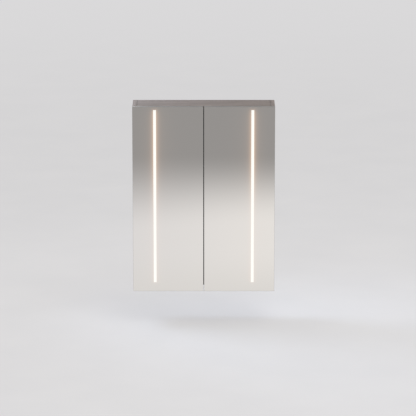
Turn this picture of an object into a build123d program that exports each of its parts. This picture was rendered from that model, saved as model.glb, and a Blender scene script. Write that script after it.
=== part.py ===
from build123d import *
import os
from math import sqrt

# A wall-hung bathroom cabinet with two mirror doors, each with an upright strip of light.
#
# Millimetres. +X is to the right, +Y towards the wall and +Z up. The origin is on the wall,
# midway between the two wall screws of the hanging rail. Pieces of the right half are drawn,
# and the left half is their mirror image.

# Overall size
WIDTH = 600.0
DOOR_HEIGHT = 800.0
DEPTH = 150.0
DOOR_OVERHANG = 22.0  # the doors reach below the case, as a finger pull
DOOR_GAP = 3.0  # between the two doors
REVEAL = 3.5  # between the doors' backs and the case's front edges
RAIL_DROP = 75.0  # from the case's top down to the wall screws

# Case boards
BOARD = 18.0
BACK_BOARD = 8.0
BACK_RECESS = 18.0  # room behind the back board for the rail and hooks
GROOVE = 6.0  # how deep the back board sits in the other boards
EDGE_BREAK = 0.6
FIT = 0.1  # clearance round a piece that sits in a cut
SCREW_FIT = 0.05  # radial clearance of a screw, pin or dowel in its hole
DOWEL_R = 4.0
DOWEL_LENGTH = 30.0
DOWEL_IN_SIDE = 10.0
DOWEL_INSET = 16.0  # from the case's front edge and from the back board

# Doors
MIRROR = 4.0
CORE = 16.0
INNER_MIRROR = 3.0
GLASS_BREAK = 0.5  # ground edge of the mirrors and shelves
HINGE_EDGE_BREAK = 2.4  # bevel on the hinge side, so that the door clears the case
INNER_HINGE_MARGIN = 46.0  # bare strip of the core beside the inner mirror, for the hinges
INNER_MARGIN = 8.0
BUMPER_R = 4.0
BUMPER_INSET = 12.0
BUMPER_CLEAR = 0.3

# Light in each door
LIGHT_INSET = 93.5  # from the door's outer edge to the middle of the strip
LIGHT_WIDTH = 12.0
LIGHT_TOP = 14.0  # from the door's top to the strip
LIGHT_BOTTOM = 39.0  # from the door's bottom to the strip
CHANNEL_WALL = 2.0
CHANNEL_DEPTH = 9.0
DIFFUSER_BASE = 2.0  # foot of the diffuser, held between the mirror and the channel
DIFFUSER_LIP = 1.0  # how far the foot reaches behind the mirror on each side
LED_BOARD_WIDTH = 8.0
LED_BOARD = 1.2
LED_CHIP = 2.8
LED_CHIP_HEIGHT = 0.8
LED_PITCH = 20.0
LEAD_SLOT_WIDTH = 8.0
LEAD_SLOT_DEPTH = 5.0
LEAD_INSET = 36.0  # from the door's outer edge to the lead's grommet
LEAD_DROP = 70.0  # from the upper hinge down to the grommet
LEAD_HOLE_R = 4.5
LEAD_BORE_R = 2.5
LEAD_FLANGE = 1.2

# Concealed hinges. Their sizes are given from the door's outer edge and from its back.
HINGE_INSET = 110.0  # from the inside of the top and bottom boards to the outer hinges
CUP_R = 17.5
CUP_EDGE = 3.0  # from the door's outer edge to the cup
CUP_DEPTH = 13.0
CUP_FLOOR = 1.0
CUP_SLOT = 12.0  # width of the slot that the neck works in
CUP_SLOT_START = 4.8
CUP_SLOT_WALL = 1.6
CUP_FLANGE = 0.8
CUP_FLANGE_START = 5.5
WING_WIDTH = 15.0
WING_LENGTH = 60.0
WING_CORNER = 5.0
WING_OFFSET = 9.0  # from the cup's middle to the line of its screws
WING_SCREW_SPACING = 48.0
PIN_INSET = 8.0
PIN_DEPTH = 8.5
PIN_R = 1.5
PIN_LENGTH = 18.0
PIN_RUNNING = 0.05
KNUCKLE_R = 2.9
KNUCKLE_SIDE = 0.4
NECK = 2.5
NECK_DIP = 1.7  # how much deeper than the pin the neck runs
NECK_BENDS = (12.0, 4.5)
ARM_WIDTH = 14.0
ARM_HEIGHT = 9.0
ARM_START = 6.0  # from the case's front edge back to the arm
ARM_LENGTH = 54.0
ARM_EDGE = 2.0
ARM_SCREW_SPACING = 26.0
ARM_SCREW_RECESS = 2.0
ARM_SCREW_LENGTH = 5.0
PLATE = 4.5
PLATE_WIDTH = 18.0
PLATE_START = 20.0  # from the case's front edge back to the plate
PLATE_LENGTH = 40.0
PLATE_WING = 3.0
PLATE_WING_WIDTH = 12.0
PLATE_WING_LENGTH = 48.0
PLATE_SCREW_SPACING = 32.0

# Screws
SCREW_R = 1.75
SCREW_HEAD_R = 3.4
SCREW_HEAD = 1.6
SCREW_DRIVE = 0.8  # depth of the cross in the head
SCREW_DRIVE_WIDTH = 0.9
SCREW_DRIVE_SPAN = 0.7  # length of the cross as a share of the head's width
SCREW_LENGTH = 10.0

# Shelves
SHELF = 5.0
SHELF_SIDE_GAP = 2.0
SHELF_BACK_GAP = 2.0
SHELF_SETBACK = 12.0  # from the case's front edge
SHELF_CORNER = 4.0
SHELF_COUNT = 2
PEG_R = 2.5
PEG_IN_BOARD = 8.0
PEG_REACH = 9.0
PEG_HEAD_R = 4.0
PEG_HOLE_DEPTH = 9.0
PEG_PITCH = 32.0
PEG_ROWS_EACH_WAY = 2  # spare holes above and below each shelf
PEG_FRONT_INSET = 37.0
PEG_BACK_INSET = 20.0

# Hanging
RAIL = 2.0
RAIL_END_GAP = 5.0  # from the rail's ends to the side boards
RAIL_BELOW = 18.0  # from the wall screws down to the rail's lower edge
RAIL_ABOVE = 27.0  # from the wall screws up to the lip's edge
RAIL_JOG_START = 8.0
RAIL_JOG_END = 14.0
RAIL_JOG = 6.0  # the lip stands this far off the wall
WALL_SCREW_SPACING = 400.0
WALL_SCREW_HOLE_R = 3.25
HOOK = 4.0
HOOK_WIDTH = 16.0
HOOK_LIP = 3.0
HOOK_DROP = 12.0
HANGER_WIDTH = 24.0
HANGER_LENGTH = 50.0
HANGER_TOP_GAP = 5.0
HANGER_BELOW_HOOK = 42.0
HANGER_EDGE = 2.0
HANGER_WALL = 3.0  # left under the heads of the hanger's screws
HOOK_IN_HANGER = 34.0
HANGER_SLOT_ROOM = 4.0  # round the hook where it passes through the back board
ADJUSTER_R = 3.0
ADJUSTER_HEAD_R = 4.5
ADJUSTER_HEAD = 3.0
ADJUSTER_DROP = 16.0  # from the depth screw down to the height screw
ADJUSTER_SHANK = 12.0
HANGER_SCREW_SPACING = 26.0

# Electrics
HOUSING_WIDTH = 200.0
HOUSING_DEPTH = 56.0
HOUSING_HEIGHT = 38.0
HOUSING_WALL = 2.5
HOUSING_EDGE = 3.0
TAB_LENGTH = 14.0
TAB = 3.0
TAB_SCREW_INSET = 12.0
VENT_COUNT = 12
VENT_WIDTH = 2.4
VENT_HEIGHT = 18.0
VENT_PITCH = 7.0
DRIVER_LENGTH = 96.0
DRIVER_DEPTH = 36.0
DRIVER_HEIGHT = 24.0
DRIVER_OFFSET = -38.0
DRIVER_EDGE = 2.0
TERMINAL_LENGTH = 34.0
TERMINAL_DEPTH = 18.0
TERMINAL_HEIGHT = 15.0
TERMINAL_OFFSET = 60.0
TERMINAL_POLES = 3
TERMINAL_SCREW_R = 2.2
TERMINAL_SCREW_DEPTH = 5.0
SWITCH_OFFSET = 62.0
SWITCH_WIDTH = 26.0
SWITCH_HEIGHT = 17.0
SWITCH_DEPTH = 12.0
SWITCH_BEZEL = 1.5
SWITCH_BEZEL_RIM = 2.0
SWITCH_WALL = 2.0
SWITCH_FLOOR = 1.5
ROCKER_GAP = 0.3
ROCKER_PIVOT_R = 1.2
ROCKER_PIVOT_LENGTH = 1.4
ROCKER_PIVOT_DEPTH = 3.5  # from the bezel's face back to the rocker's pivot
ROCKER_PROUD = 1.6
ROCKER_DISH = 1.2
ROCKER_TILT = 10.0
GROMMET_OFFSET = 60.0
GROMMET_R = 10.0
GROMMET_BORE_R = 5.0
GROMMET_FLANGE = 2.0
GROMMET_FLANGE_R = 13.0

# Places that follow from those sizes
HALF = WIDTH / 2
TOP = RAIL_DROP
DOOR_BOTTOM = TOP - DOOR_HEIGHT
CASE_BOTTOM = DOOR_BOTTOM + DOOR_OVERHANG
INSIDE_TOP = TOP - BOARD
INSIDE_BOTTOM = CASE_BOTTOM + BOARD
INSIDE_HALF = HALF - BOARD
DOOR_FRONT = -DEPTH
CORE_FRONT = DOOR_FRONT + MIRROR
DOOR_BACK = CORE_FRONT + CORE
CASE_FRONT = DOOR_BACK + REVEAL
BACK_REAR = -BACK_RECESS
BACK_FRONT = BACK_REAR - BACK_BOARD
DOOR_INNER_X = DOOR_GAP / 2
LIGHT_X = HALF - LIGHT_INSET
LIGHT_HIGH = TOP - LIGHT_TOP
LIGHT_LOW = DOOR_BOTTOM + LIGHT_BOTTOM
CUP_X = HALF - CUP_EDGE - CUP_R
PIN_X = HALF - PIN_INSET
PIN_Y = DOOR_BACK - PIN_DEPTH
HINGE_HIGH = INSIDE_TOP - HINGE_INSET
HINGE_LOW = INSIDE_BOTTOM + HINGE_INSET
HINGES = {"upper": HINGE_HIGH, "middle": (HINGE_HIGH + HINGE_LOW) / 2, "lower": HINGE_LOW}
SHELF_STEP = (INSIDE_TOP - INSIDE_BOTTOM) / (SHELF_COUNT + 1)
SHELVES = {
    "lower": INSIDE_BOTTOM + SHELF_STEP,
    "upper": INSIDE_BOTTOM + SHELF_COUNT * SHELF_STEP,
}
PEG_COLUMNS = (CASE_FRONT + PEG_FRONT_INSET, BACK_FRONT - PEG_BACK_INSET)
RAIL_HALF = INSIDE_HALF - RAIL_END_GAP
HANGER_X = INSIDE_HALF - HANGER_WIDTH / 2
HOOK_LOW = RAIL_ABOVE
HANGER_FRONT = BACK_FRONT - HANGER_LENGTH
HOUSING_BOTTOM = INSIDE_TOP - HOUSING_HEIGHT
HOUSING_FRONT = BACK_FRONT - HOUSING_DEPTH
HOUSING_MIDDLE = INSIDE_TOP - HOUSING_HEIGHT / 2


def block(x, y, z, edge=0.0):
    """A box between two values on each axis, with its edges broken where an edge is given."""
    size = [high - low for low, high in (x, y, z)]
    middle = [(high + low) / 2 for low, high in (x, y, z)]
    box = Pos(*middle) * Box(*size)
    return chamfer(box.edges(), edge) if edge else box


def rod(start, end, radius):
    """A round rod from one point to another."""
    line = Vector(*end) - Vector(*start)
    place = Plane(origin=start, z_dir=line)
    return place * Cylinder(radius, line.length, align=(Align.CENTER, Align.CENTER, Align.MIN))


def along(point, direction, distance):
    """The point at a distance from another in a direction."""
    return tuple(Vector(*point) + Vector(*direction) * distance)


def screw(seat, direction, length=SCREW_LENGTH, radius=SCREW_R, head_r=SCREW_HEAD_R, head=SCREW_HEAD):
    """A pan head screw with a cross, whose head sits on the seat and whose shank goes in."""
    crown = along(seat, direction, -head)
    body = rod(crown, seat, head_r) + rod(seat, along(seat, direction, length), radius)
    drive = Plane(origin=crown, z_dir=direction)
    for turn in (0, 90):
        bar = Box(2 * head_r * SCREW_DRIVE_SPAN, SCREW_DRIVE_WIDTH, 2 * SCREW_DRIVE)
        body -= drive * Rot(0, 0, turn) * bar
    return body


def screw_hole(seat, direction, length=SCREW_LENGTH, radius=SCREW_R):
    """The hole for a screw's shank, from just before the seat to just past the screw's end."""
    start = along(seat, direction, -FIT)
    return rod(start, along(seat, direction, length + FIT), radius + SCREW_FIT)


def flipped(shape):
    """The left-hand twin of a right-hand piece."""
    return mirror(shape, about=Plane.YZ)


def group(shapes):
    """Several separate solids kept as one piece of the list."""
    return Compound(children=[solid for shape in shapes for solid in shape.solids()])


# Case

def dowel_lines():
    """The middle lines of the dowels at the right end of the top and bottom boards."""
    front = CASE_FRONT + DOWEL_INSET
    back = BACK_FRONT - DOWEL_INSET
    lines = []
    for z in (TOP - BOARD / 2, CASE_BOTTOM + BOARD / 2):
        for y in (front, (front + back) / 2, back):
            tip = INSIDE_HALF + DOWEL_IN_SIDE
            lines.append(((tip - DOWEL_LENGTH, y, z), (tip, y, z)))
    return lines


def dowel_holes():
    """The holes for the dowels, a little longer and wider than the dowels."""
    holes = []
    for start, end in dowel_lines():
        inward = along(start, (-1, 0, 0), FIT)
        outward = along(end, (1, 0, 0), FIT)
        holes.append(rod(inward, outward, DOWEL_R + SCREW_FIT))
    return holes


def peg_heights(shelf_bottom):
    """The heights of the peg holes round one shelf: its own and the spare ones."""
    steps = range(-PEG_ROWS_EACH_WAY, PEG_ROWS_EACH_WAY + 1)
    return [shelf_bottom + step * PEG_PITCH for step in steps]


def side_panel():
    """The right side board, with the back board's groove and the holes for all that it carries."""
    board = block((INSIDE_HALF, HALF), (CASE_FRONT, 0), (CASE_BOTTOM, TOP), EDGE_BREAK)
    board -= back_groove()
    for hole in dowel_holes():
        board -= hole
    for shelf_bottom in SHELVES.values():
        for z in peg_heights(shelf_bottom):
            for y in PEG_COLUMNS:
                mouth = (INSIDE_HALF - FIT, y, z)
                board -= rod(mouth, (INSIDE_HALF + PEG_HOLE_DEPTH, y, z), PEG_R + SCREW_FIT)
    for seat in plate_screw_seats() + hanger_screw_seats():
        board -= screw_hole(seat, (1, 0, 0))
    return board


def back_groove():
    """The space of the back board, with its clearance, that is cut from the boards round it."""
    reach = INSIDE_HALF + GROOVE + FIT
    low = INSIDE_BOTTOM - GROOVE - FIT
    high = INSIDE_TOP + GROOVE + FIT
    return block((-reach, reach), (BACK_FRONT - FIT, BACK_REAR + FIT), (low, high))


def cross_panel(low, high):
    """The top or bottom board, between the side boards."""
    board = block((-INSIDE_HALF, INSIDE_HALF), (CASE_FRONT, 0), (low, high), EDGE_BREAK)
    board -= back_groove()
    for hole in dowel_holes():
        board = board - hole - flipped(hole)
    return board


def top_panel():
    """The top board, with the holes for the housing's screws."""
    board = cross_panel(INSIDE_TOP, TOP)
    for seat in housing_screw_seats():
        board -= screw_hole(seat, (0, 0, 1))
    return board


def back_panel():
    """The back board, with a slot for each hook and the hole for the mains grommet."""
    reach = INSIDE_HALF + GROOVE
    upright = (INSIDE_BOTTOM - GROOVE, INSIDE_TOP + GROOVE)
    board = block((-reach, reach), (BACK_FRONT, BACK_REAR), upright)
    half_slot = HOOK_WIDTH / 2 + HANGER_SLOT_ROOM
    for x in (-HANGER_X, HANGER_X):
        across = (x - half_slot, x + half_slot)
        slot = (HOOK_LOW - HANGER_SLOT_ROOM, HOOK_LOW + HOOK + HANGER_SLOT_ROOM)
        board -= block(across, (BACK_FRONT - FIT, BACK_REAR + FIT), slot)
    start = (GROMMET_OFFSET, BACK_FRONT - FIT, HOUSING_MIDDLE)
    board -= rod(start, (GROMMET_OFFSET, BACK_REAR + FIT, HOUSING_MIDDLE), GROMMET_R + FIT)
    return board


def case_dowels():
    """The dowels of all four corners."""
    right = [rod(start, end, DOWEL_R) for start, end in dowel_lines()]
    return group(right + [flipped(dowel) for dowel in right])


# Hanging

def wall_rail():
    """The steel rail on the wall, whose upper lip stands off the wall for the hooks."""
    lip = -RAIL_JOG
    outline = [
        (0, -RAIL_BELOW),
        (0, RAIL_JOG_START),
        (lip, RAIL_JOG_END),
        (lip, RAIL_ABOVE),
        (lip - RAIL, RAIL_ABOVE),
        (lip - RAIL, RAIL_JOG_END),
        (-RAIL, RAIL_JOG_START),
        (-RAIL, -RAIL_BELOW),
    ]
    start = Plane(origin=(-RAIL_HALF, 0, 0), x_dir=(0, 1, 0), z_dir=(1, 0, 0))
    rail = extrude(start * make_face(Polyline(*outline, close=True)), amount=2 * RAIL_HALF)
    for x in (-WALL_SCREW_SPACING / 2, WALL_SCREW_SPACING / 2):
        rail -= rod((x, FIT, 0), (x, -RAIL - FIT, 0), WALL_SCREW_HOLE_R)
    return rail


def hanger_hook():
    """The right hook: a tongue from the hanger over the rail's lip, turned down behind it."""
    across = (HANGER_X - HOOK_WIDTH / 2, HANGER_X + HOOK_WIDTH / 2)
    lip_front = -(RAIL_JOG + HOOK_LIP) / 2
    upright = (HOOK_LOW, HOOK_LOW + HOOK)
    tongue = block(across, (BACK_FRONT - HOOK_IN_HANGER, lip_front + HOOK_LIP), upright)
    lip = block(across, (lip_front, lip_front + HOOK_LIP), (HOOK_LOW - HOOK_DROP, HOOK_LOW + HOOK))
    return tongue + lip


def adjuster_seats():
    """The seats of the right hanger's depth and height screws, on the hanger's front face."""
    middle = HOOK_LOW + HOOK / 2
    return [(HANGER_X, HANGER_FRONT, middle), (HANGER_X, HANGER_FRONT, middle - ADJUSTER_DROP)]


def hanger_screw_seats():
    """The seats of the right hanger's screws, in the hanger's pockets beside the side board."""
    middle_y = (HANGER_FRONT + BACK_FRONT) / 2
    low = HOOK_LOW - HANGER_BELOW_HOOK + SCREW_HEAD_R * 2
    steps = (-HANGER_SCREW_SPACING / 2, HANGER_SCREW_SPACING / 2)
    return [(INSIDE_HALF - HANGER_WALL, middle_y + step, low) for step in steps]


def hanger_body():
    """The right hanger's body, with the tongue's slot and the holes for its screws."""
    across = (INSIDE_HALF - HANGER_WIDTH, INSIDE_HALF)
    upright = (HOOK_LOW - HANGER_BELOW_HOOK, INSIDE_TOP - HANGER_TOP_GAP)
    body = block(across, (HANGER_FRONT, BACK_FRONT), upright, HANGER_EDGE)
    half_hook = HOOK_WIDTH / 2 + FIT
    slot_end = BACK_FRONT - HOOK_IN_HANGER - FIT
    slot = block(
        (HANGER_X - half_hook, HANGER_X + half_hook),
        (slot_end, BACK_FRONT + FIT),
        (HOOK_LOW - FIT, HOOK_LOW + HOOK + FIT),
    )
    body -= slot
    for seat in adjuster_seats():
        body -= screw_hole(seat, (0, 1, 0), ADJUSTER_SHANK, ADJUSTER_R)
    for seat in hanger_screw_seats():
        pocket_start = along(seat, (-1, 0, 0), HANGER_WIDTH)
        body -= rod(pocket_start, seat, SCREW_HEAD_R + FIT)
        body -= screw_hole(seat, (1, 0, 0))
    return body


def hanger_adjusters():
    """The depth and height screws of both hangers."""
    right = [
        screw(seat, (0, 1, 0), ADJUSTER_SHANK, ADJUSTER_R, ADJUSTER_HEAD_R, ADJUSTER_HEAD)
        for seat in adjuster_seats()
    ]
    return group(right + [flipped(piece) for piece in right])


def hanger_screws():
    """The screws that hold both hangers to the side boards."""
    right = [screw(seat, (1, 0, 0)) for seat in hanger_screw_seats()]
    return group(right + [flipped(piece) for piece in right])


# Shelves

def shelf(bottom):
    """A glass shelf that rests on its pegs."""
    half = INSIDE_HALF - SHELF_SIDE_GAP
    front = CASE_FRONT + SHELF_SETBACK
    back = BACK_FRONT - SHELF_BACK_GAP
    glass = block((-half, half), (front, back), (bottom, bottom + SHELF))
    glass = fillet(glass.edges().filter_by(Axis.Z), SHELF_CORNER)
    rims = glass.faces().sort_by(Axis.Z)
    return chamfer(rims[0].edges() + rims[-1].edges(), GLASS_BREAK)


def shelf_peg(y, shelf_bottom):
    """A right-hand peg: a stem in the board and a head, flat on top, under the glass."""
    axis_z = shelf_bottom
    stem = rod((INSIDE_HALF, y, axis_z), (INSIDE_HALF + PEG_IN_BOARD, y, axis_z), PEG_R)
    head = rod((INSIDE_HALF - PEG_REACH, y, axis_z), (INSIDE_HALF, y, axis_z), PEG_HEAD_R)
    above = block(
        (INSIDE_HALF - 2 * PEG_REACH, INSIDE_HALF),
        (y - PEG_HEAD_R - FIT, y + PEG_HEAD_R + FIT),
        (shelf_bottom, shelf_bottom + PEG_HEAD_R + FIT),
    )
    return stem + (head - above)


def shelf_pegs():
    """Four pegs under each shelf."""
    right = [shelf_peg(y, bottom) for bottom in SHELVES.values() for y in PEG_COLUMNS]
    return group(right + [flipped(peg) for peg in right])


# Hinges

def plate_screw_seats():
    """The seats of the right plates' screws, on the plates' wings."""
    x = INSIDE_HALF - PLATE_WING
    y = CASE_FRONT + PLATE_START + PLATE_LENGTH / 2
    steps = (-PLATE_SCREW_SPACING / 2, PLATE_SCREW_SPACING / 2)
    return [(x, y, z + step) for z in HINGES.values() for step in steps]


def hinge_plate(z):
    """A mounting plate on the right side board: a block for the arm and two wings for screws."""
    start = CASE_FRONT + PLATE_START
    middle = start + PLATE_LENGTH / 2
    body = block(
        (INSIDE_HALF - PLATE, INSIDE_HALF),
        (start, start + PLATE_LENGTH),
        (z - PLATE_WIDTH / 2, z + PLATE_WIDTH / 2),
    )
    body += block(
        (INSIDE_HALF - PLATE_WING, INSIDE_HALF),
        (middle - PLATE_WING_WIDTH / 2, middle + PLATE_WING_WIDTH / 2),
        (z - PLATE_WING_LENGTH / 2, z + PLATE_WING_LENGTH / 2),
    )
    for seat in plate_screw_seats():
        body -= screw_hole(seat, (1, 0, 0))
    return body


def neck_path():
    """The neck's middle line seen from above: from the pin, deeper into the cup, and back to the arm."""
    arm_x = INSIDE_HALF - PLATE - ARM_HEIGHT / 2
    points = [
        (PIN_X, PIN_Y),
        ((PIN_X + arm_x) / 2, PIN_Y - NECK_DIP),
        (arm_x, PIN_Y + NECK_DIP / 2),
        (arm_x, CASE_FRONT + ARM_START + NECK),
    ]
    return FilletPolyline(*points, radius=list(NECK_BENDS))


def arm_screw_seats(z):
    """The seats of a right arm's clamping and adjusting screws, at the bottom of their recesses."""
    x = INSIDE_HALF - PLATE - ARM_HEIGHT + ARM_SCREW_RECESS
    middle = CASE_FRONT + ARM_START + ARM_LENGTH / 2
    return [(x, middle + step, z) for step in (-ARM_SCREW_SPACING / 2, ARM_SCREW_SPACING / 2)]


def hinge_arm(z):
    """A right hinge arm: knuckle, bent neck and the bar that clips on the mounting plate."""
    half_neck = CUP_SLOT / 2 - KNUCKLE_SIDE
    low = (PIN_X, PIN_Y, z - half_neck)
    high = (PIN_X, PIN_Y, z + half_neck)
    strip = Pos(0, 0, z - half_neck) * trace(neck_path(), line_width=NECK)
    neck = extrude(strip, 2 * half_neck, (0, 0, 1))
    arm_x = (INSIDE_HALF - PLATE - ARM_HEIGHT, INSIDE_HALF - PLATE)
    start = CASE_FRONT + ARM_START
    bar = block(arm_x, (start, start + ARM_LENGTH), (z - ARM_WIDTH / 2, z + ARM_WIDTH / 2))
    rim = bar.faces().sort_by(Axis.X)[0].edges()
    bar = chamfer(rim, ARM_EDGE)
    for seat in arm_screw_seats(z):
        bar -= rod(along(seat, (-1, 0, 0), ARM_HEIGHT), seat, SCREW_HEAD_R + FIT)
        bar -= screw_hole(seat, (1, 0, 0), ARM_SCREW_LENGTH)
    arm = neck + rod(low, high, KNUCKLE_R) + bar
    return arm - rod(along(low, (0, 0, -1), FIT), along(high, (0, 0, 1), FIT), PIN_R + PIN_RUNNING)


def hinge_pin(z):
    """A right hinge pin, which the cup holds and the knuckle turns on."""
    half = PIN_LENGTH / 2
    return rod((PIN_X, PIN_Y, z - half), (PIN_X, PIN_Y, z + half), PIN_R)


def hinge_cup(z):
    """A right hinge cup: a round body in the door, with the neck's slot and a flange with wings."""
    deep = DOOR_BACK - CUP_DEPTH
    cup = rod((CUP_X, DOOR_BACK, z), (CUP_X, deep, z), CUP_R)
    wing_x = CUP_X - WING_OFFSET
    wing = block(
        (wing_x - WING_WIDTH / 2, wing_x + WING_WIDTH / 2),
        (DOOR_BACK, DOOR_BACK + CUP_FLANGE),
        (z - WING_LENGTH / 2, z + WING_LENGTH / 2),
    )
    wing = fillet(wing.edges().filter_by(Axis.Y), WING_CORNER)
    rim = rod((CUP_X, DOOR_BACK, z), (CUP_X, DOOR_BACK + CUP_FLANGE, z), CUP_R)
    beyond = block(
        (HALF - CUP_FLANGE_START, HALF),
        (DOOR_BACK, DOOR_BACK + 2 * CUP_FLANGE),
        (z - CUP_R, z + CUP_R),
    )
    cup += wing + (rim - beyond)
    slot_start = HALF - CUP_SLOT_START
    slot_end = CUP_X - CUP_R + CUP_SLOT_WALL
    cup -= block(
        (slot_end, slot_start),
        (deep + CUP_FLOOR, DOOR_BACK + 2 * CUP_FLANGE),
        (z - CUP_SLOT / 2, z + CUP_SLOT / 2),
    )
    half_pin = PIN_LENGTH / 2 + FIT
    pin_hole_r = PIN_R + PIN_RUNNING / 2
    cup -= rod((PIN_X, PIN_Y, z - half_pin), (PIN_X, PIN_Y, z + half_pin), pin_hole_r)
    for seat in cup_screw_seats(z):
        cup -= screw_hole(seat, (0, -1, 0))
    return cup


def cup_screw_seats(z):
    """The seats of a right cup's two screws, on its wings."""
    steps = (-WING_SCREW_SPACING / 2, WING_SCREW_SPACING / 2)
    return [(CUP_X - WING_OFFSET, DOOR_BACK + CUP_FLANGE, z + step) for step in steps]


# Doors

def door_core():
    """The right door's core board, cut for the light channel, its lead, the cups and the screws."""
    core = block((DOOR_INNER_X, HALF), (CORE_FRONT, DOOR_BACK), (DOOR_BOTTOM, TOP))
    hinge_edge = core.edges().filter_by(Axis.Z).group_by(Axis.X)[-1].sort_by(Axis.Y)[-1]
    core = chamfer(hinge_edge, HINGE_EDGE_BREAK)
    core = chamfer(core.faces().sort_by(Axis.Y)[-1].edges(), EDGE_BREAK)
    core -= light_channel_space(FIT)
    lead_z = HINGE_HIGH - LEAD_DROP
    core -= block(
        (LIGHT_X, HALF - LEAD_INSET + LEAD_SLOT_WIDTH / 2),
        (CORE_FRONT, CORE_FRONT + LEAD_SLOT_DEPTH),
        (lead_z - LEAD_SLOT_WIDTH / 2, lead_z + LEAD_SLOT_WIDTH / 2),
    )
    lead_x = HALF - LEAD_INSET
    core -= rod((lead_x, CORE_FRONT, lead_z), (lead_x, DOOR_BACK + FIT, lead_z), LEAD_HOLE_R + FIT)
    for z in HINGES.values():
        core -= rod((CUP_X, DOOR_BACK + FIT, z), (CUP_X, DOOR_BACK - CUP_DEPTH - FIT, z), CUP_R + FIT)
        for seat in cup_screw_seats(z):
            core -= screw_hole(seat, (0, -1, 0))
    return core


def front_mirror():
    """The right door's front mirror, with the window that the diffuser fills."""
    glass = block((DOOR_INNER_X, HALF), (DOOR_FRONT, CORE_FRONT), (DOOR_BOTTOM, TOP), GLASS_BREAK)
    half = LIGHT_WIDTH / 2
    window = block((LIGHT_X - half, LIGHT_X + half), (DOOR_FRONT, CORE_FRONT), (LIGHT_LOW, LIGHT_HIGH))
    return glass - window


def inner_mirror():
    """The right door's inner mirror, which lies inside the case's opening when the door is shut."""
    across = (DOOR_INNER_X + INNER_MARGIN, HALF - INNER_HINGE_MARGIN)
    upright = (INSIDE_BOTTOM + INNER_MARGIN, INSIDE_TOP - INNER_MARGIN)
    return block(across, (DOOR_BACK, DOOR_BACK + INNER_MIRROR), upright, GLASS_BREAK)


def light_channel_space(room):
    """The outer shape of the right door's light channel, widened by some room."""
    half = LIGHT_WIDTH / 2 + CHANNEL_WALL + room
    deep = CORE_FRONT + CHANNEL_DEPTH + room
    low = LIGHT_LOW - CHANNEL_WALL - room
    high = LIGHT_HIGH + CHANNEL_WALL + room
    return block((LIGHT_X - half, LIGHT_X + half), (CORE_FRONT, deep), (low, high))


def diffuser_foot(room):
    """The right diffuser's foot behind the mirror, widened by some room."""
    half = LIGHT_WIDTH / 2 + DIFFUSER_LIP - FIT + room
    low = LIGHT_LOW - DIFFUSER_LIP + FIT - room
    high = LIGHT_HIGH + DIFFUSER_LIP - FIT + room
    deep = CORE_FRONT + DIFFUSER_BASE + room
    return block((LIGHT_X - half, LIGHT_X + half), (CORE_FRONT, deep), (low, high))


def light_channel():
    """The channel behind the diffuser, closed at its ends, with the lead's way out."""
    channel = light_channel_space(0) - diffuser_foot(FIT)
    half = LIGHT_WIDTH / 2
    floor = CORE_FRONT + CHANNEL_DEPTH - CHANNEL_WALL
    channel -= block((LIGHT_X - half, LIGHT_X + half), (CORE_FRONT, floor), (LIGHT_LOW, LIGHT_HIGH))
    lead_z = HINGE_HIGH - LEAD_DROP
    notch = LEAD_SLOT_WIDTH / 2
    way_out = (LIGHT_X, LIGHT_X + half + 2 * CHANNEL_WALL)
    channel -= block(way_out, (CORE_FRONT + DIFFUSER_BASE + FIT, floor), (lead_z - notch, lead_z + notch))
    return channel


def led_board():
    """The strip board on the channel's floor, with its row of light chips."""
    floor = CORE_FRONT + CHANNEL_DEPTH - CHANNEL_WALL
    half = LED_BOARD_WIDTH / 2
    low = LIGHT_LOW + CHANNEL_WALL
    high = LIGHT_HIGH - CHANNEL_WALL
    board = block((LIGHT_X - half, LIGHT_X + half), (floor - LED_BOARD, floor), (low, high))
    count = int((high - low - LED_PITCH / 2) // LED_PITCH) + 1
    first = (low + high) / 2 - (count - 1) * LED_PITCH / 2
    chips = []
    for index in range(count):
        z = first + index * LED_PITCH
        chips.append(
            block(
                (LIGHT_X - LED_CHIP / 2, LIGHT_X + LED_CHIP / 2),
                (floor - LED_BOARD - LED_CHIP_HEIGHT, floor - LED_BOARD),
                (z - LED_CHIP / 2, z + LED_CHIP / 2),
            )
        )
    return group([board] + chips)


def light_diffuser():
    """The opal bar that fills the mirror's window, with a wider foot in the channel's mouth."""
    half = LIGHT_WIDTH / 2 - FIT
    across = (LIGHT_X - half, LIGHT_X + half)
    bar = block(across, (DOOR_FRONT, CORE_FRONT), (LIGHT_LOW + FIT, LIGHT_HIGH - FIT))
    return bar + diffuser_foot(0)


def lead_grommet():
    """The grommet where the light's lead leaves the right door's back."""
    x = HALF - LEAD_INSET
    z = HINGE_HIGH - LEAD_DROP
    inner = CORE_FRONT + LEAD_SLOT_DEPTH
    flange_back = DOOR_BACK + LEAD_FLANGE
    ring = rod((x, inner, z), (x, DOOR_BACK, z), LEAD_HOLE_R)
    ring += rod((x, DOOR_BACK, z), (x, flange_back, z), LEAD_HOLE_R + LEAD_FLANGE)
    return ring - rod((x, inner - FIT, z), (x, flange_back + FIT, z), LEAD_BORE_R)


def door_bumpers():
    """The pads on the right door's back that meet the top and bottom boards."""
    x = DOOR_INNER_X + BUMPER_INSET
    pad_back = DOOR_BACK + REVEAL - BUMPER_CLEAR
    heights = (TOP - BOARD / 2, CASE_BOTTOM + BOARD / 2)
    return group([rod((x, DOOR_BACK, z), (x, pad_back, z), BUMPER_R) for z in heights])


# Electrics

def housing_screw_seats():
    """The seats of the four screws that hold the power housing under the top board."""
    x = HOUSING_WIDTH / 2 + TAB_LENGTH / 2
    rows = (HOUSING_FRONT + TAB_SCREW_INSET, BACK_FRONT - TAB_SCREW_INSET)
    return [(step * x, y, INSIDE_TOP - TAB) for step in (-1, 1) for y in rows]


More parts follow.
